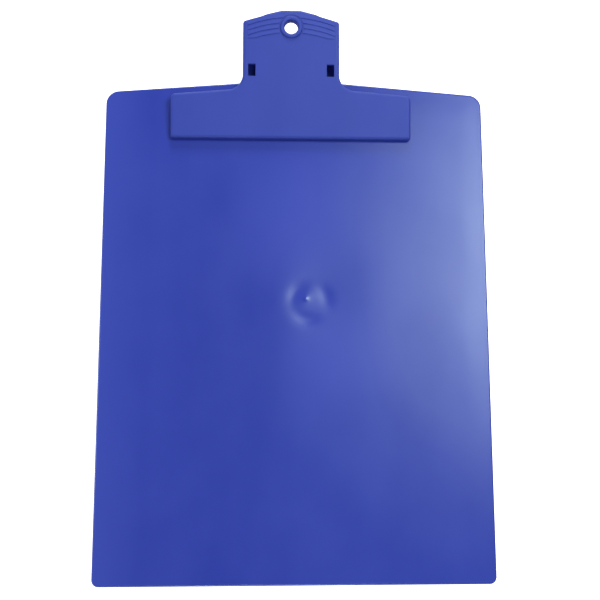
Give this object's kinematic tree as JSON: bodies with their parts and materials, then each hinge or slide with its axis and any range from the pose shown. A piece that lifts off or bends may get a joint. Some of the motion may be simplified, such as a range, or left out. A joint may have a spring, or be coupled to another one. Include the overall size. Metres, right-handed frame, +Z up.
{
  "type": "clipboard",
  "caption": "Moulded plastic clipboard with a wide one-piece sprung clip; its lever carries a ringed hanging hole.",
  "frame": {"origin": "middle of the whole length and width, on the face that the board lies on", "axes": "+X across the board to the right, +Y along the board towards the clip's lever, +Z up out of the writing face"},
  "size_m": [0.229, 0.3384, 0.0174],
  "materials": {
    "board_plastic": "semi-gloss blue polypropylene",
    "clip_plastic": "semi-gloss blue polypropylene",
    "pin_steel": "drawn bright steel",
    "spring_steel": "zinc-plated spring wire"
  },
  "bodies": {
    "board": {"board": "board_plastic", "hinge_pin": "pin_steel", "torsion_spring": "spring_steel"},
    "clip": {"clip": "clip_plastic"}
  },
  "joints": [
    {"name": "clip_hinge", "type": "hinge", "parent": "board", "child": "clip", "pos_m": [-0.0026, 0.13415, 0.0074], "axis": [-1, 0, 0], "range_deg": [0, 18], "stiffness_Nm_per_rad": 1, "springref_deg": -28.65, "deforming": ["torsion_spring"]}
  ]
}
